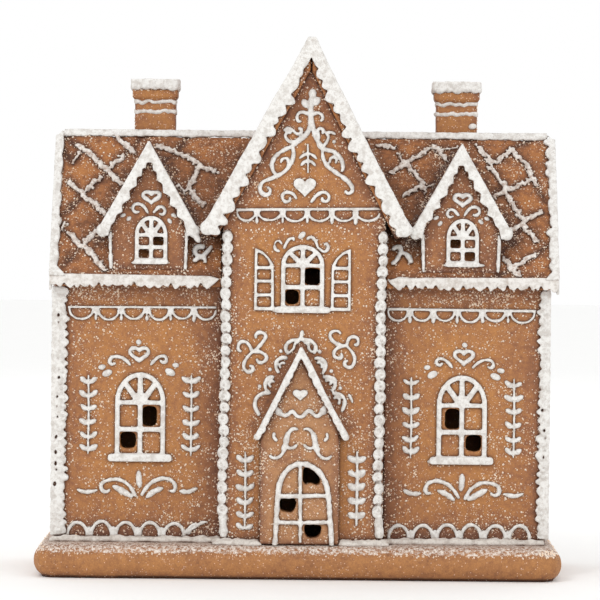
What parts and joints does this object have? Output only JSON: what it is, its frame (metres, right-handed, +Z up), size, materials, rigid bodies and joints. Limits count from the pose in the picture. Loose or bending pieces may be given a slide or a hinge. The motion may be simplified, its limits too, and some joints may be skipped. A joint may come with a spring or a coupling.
{
  "type": "gingerbread house ornament",
  "caption": "Tall gabled gingerbread house of baked-looking panels with raised white piping, porch, dormers, chimneys and snow-like icing, built together with its thick round-nosed board.",
  "frame": {"origin": "centre of the bounding box in plan, on the surface that the board rests on", "axes": "+X to the right as seen from the front, +Y towards the back, +Z up"},
  "size_m": [0.28, 0.126, 0.2867],
  "materials": {
    "gingerbread": "cast resin painted as baked gingerbread, matt, darker in the recesses, with flecks of glitter",
    "roof_gingerbread": "cast resin painted as darker gingerbread, matt, with a worn white lattice",
    "board": "cast resin painted as a baked board, matt to satin, with glitter on its rounded edge",
    "icing": "cast resin painted as white royal icing, matt, with fine grey specks"
  },
  "bodies": {
    "root": {"back_wall_left": "gingerbread", "back_wall_right": "gingerbread", "bay_roof_left": "roof_gingerbread", "bay_roof_right": "roof_gingerbread", "bay_wall_back": "gingerbread", "bay_wall_front": "gingerbread", "bay_wall_left": "gingerbread", "bay_wall_right": "gingerbread", "bead_chain_left": "icing", "bead_chain_right": "icing", "board": "board", "chimney_icing_left": "icing", "chimney_icing_right": "icing", "chimney_left": "gingerbread", "chimney_right": "gingerbread", "corner_icing_back_left": "icing", "corner_icing_back_right": "icing", "corner_icing_front_left": "icing", "corner_icing_front_right": "icing", "door": "icing", "dormer_icing_left": "icing", "dormer_icing_right": "icing", "dormer_left": "gingerbread", "dormer_right": "gingerbread", "dormer_roof_left": "roof_gingerbread", "dormer_roof_right": "roof_gingerbread", "eave_icing_back_left": "icing", "eave_icing_back_right": "icing", "eave_icing_front_left": "icing", "eave_icing_front_right": "icing", "front_wall_left": "gingerbread", "front_wall_right": "gingerbread", "gable_icing_back": "icing", "gable_icing_front": "icing", "porch_icing": "icing", "porch_roof": "roof_gingerbread", "porch_wall": "gingerbread", "roof_back_left": "roof_gingerbread", "roof_back_right": "roof_gingerbread", "roof_front_left": "roof_gingerbread", "roof_front_right": "roof_gingerbread", "roof_icing_left": "icing", "roof_icing_right": "icing", "side_wall_left": "gingerbread", "side_wall_right": "gingerbread", "snow_back": "icing", "snow_front_left": "icing", "snow_front_right": "icing", "window_back_left": "icing", "window_back_middle": "icing", "window_back_right": "icing", "window_bay_back": "icing", "window_bay_front": "icing", "window_dormer_left": "icing", "window_dormer_right": "icing", "window_front_left": "icing", "window_front_right": "icing", "window_side_left": "icing", "window_side_right": "icing"}
  },
  "joints": []
}
